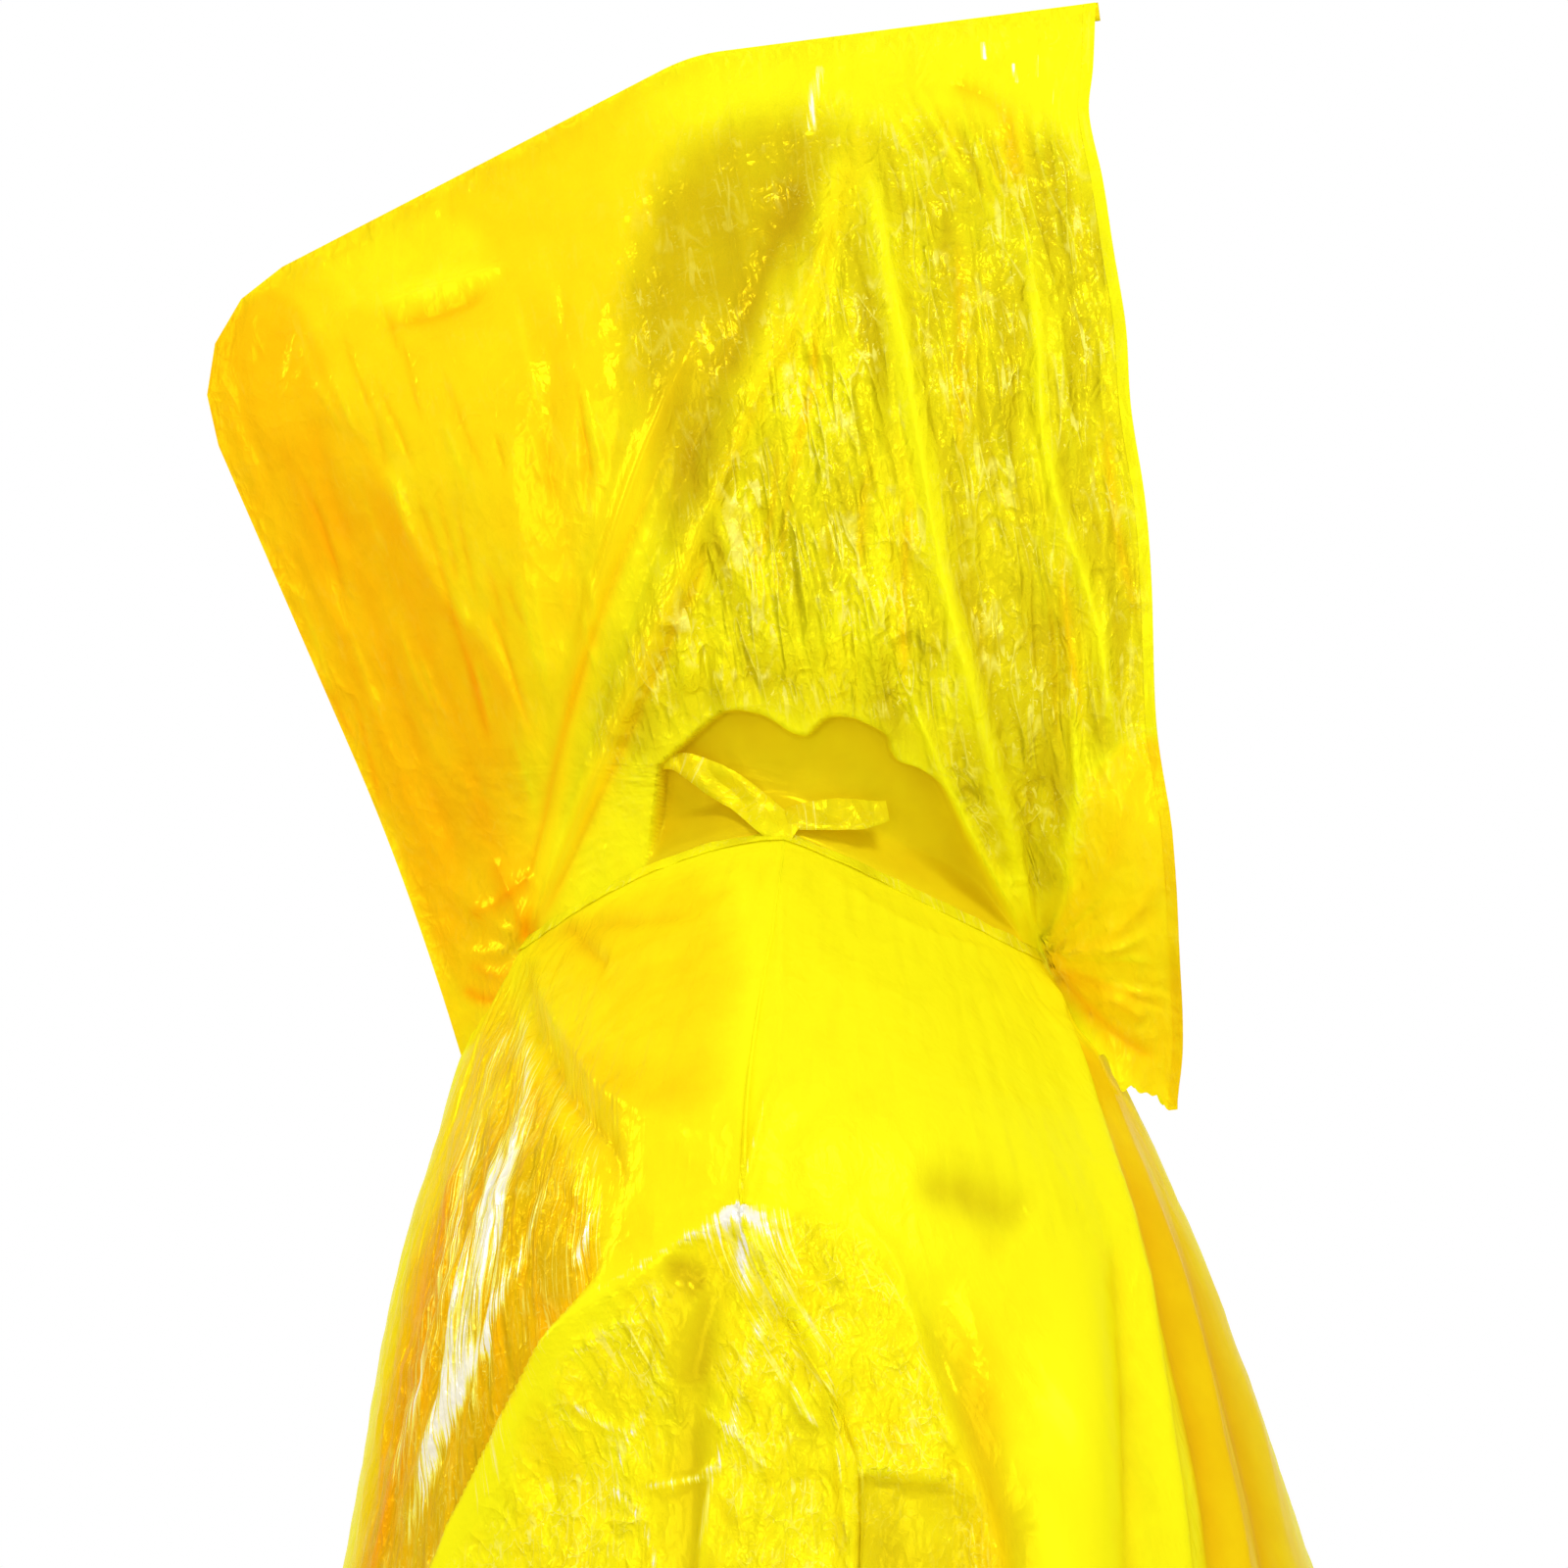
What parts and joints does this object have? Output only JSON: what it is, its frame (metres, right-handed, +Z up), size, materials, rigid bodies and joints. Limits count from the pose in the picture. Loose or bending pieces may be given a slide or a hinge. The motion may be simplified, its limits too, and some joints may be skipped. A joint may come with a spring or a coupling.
{
  "type": "hooded rain poncho",
  "caption": "Hooded throw-over rain poncho of thin welded plastic film, with a peaked hood gathered at the neck and open armholes.",
  "frame": {"origin": "centre of the neck opening, at the height where the hood's gathers meet the shoulders", "axes": "+Z up along the wearer's body, -Y the way the wearer faces, +X to the wearer's left"},
  "size_m": [0.6986, 0.52, 1.3249],
  "materials": {
    "film": "thin glossy crinkled polyethylene film, yellow and slightly see-through",
    "weld": "the same film, two layers heat-welded or folded"
  },
  "bodies": {
    "cape": {"body_front_sheet": "film", "body_back_sheet": "film", "shoulder_weld_right": "weld", "shoulder_weld_left": "weld", "side_weld_right": "weld", "side_weld_left": "weld", "neck_weld_right": "weld", "neck_weld_left": "weld", "neck_gathers_right": "film", "neck_gathers_left": "film", "flap_hem_right": "weld", "flap_hem_left": "weld", "nape_weld": "weld"},
    "hood": {"hood_panel_right": "film", "hood_panel_left": "film", "rim_hem_right": "weld", "rim_hem_left": "weld", "crown_weld": "weld", "back_weld": "weld"}
  },
  "joints": [
    {"name": "hood_nod", "type": "hinge", "parent": "cape", "child": "hood", "pos_m": [0, 0, 0.02], "axis": [1, 0, 0], "range_deg": [-20, 20], "deforming": ["neck_gathers_right", "neck_gathers_left", "flap_hem_right", "flap_hem_left", "nape_weld"]}
  ]
}
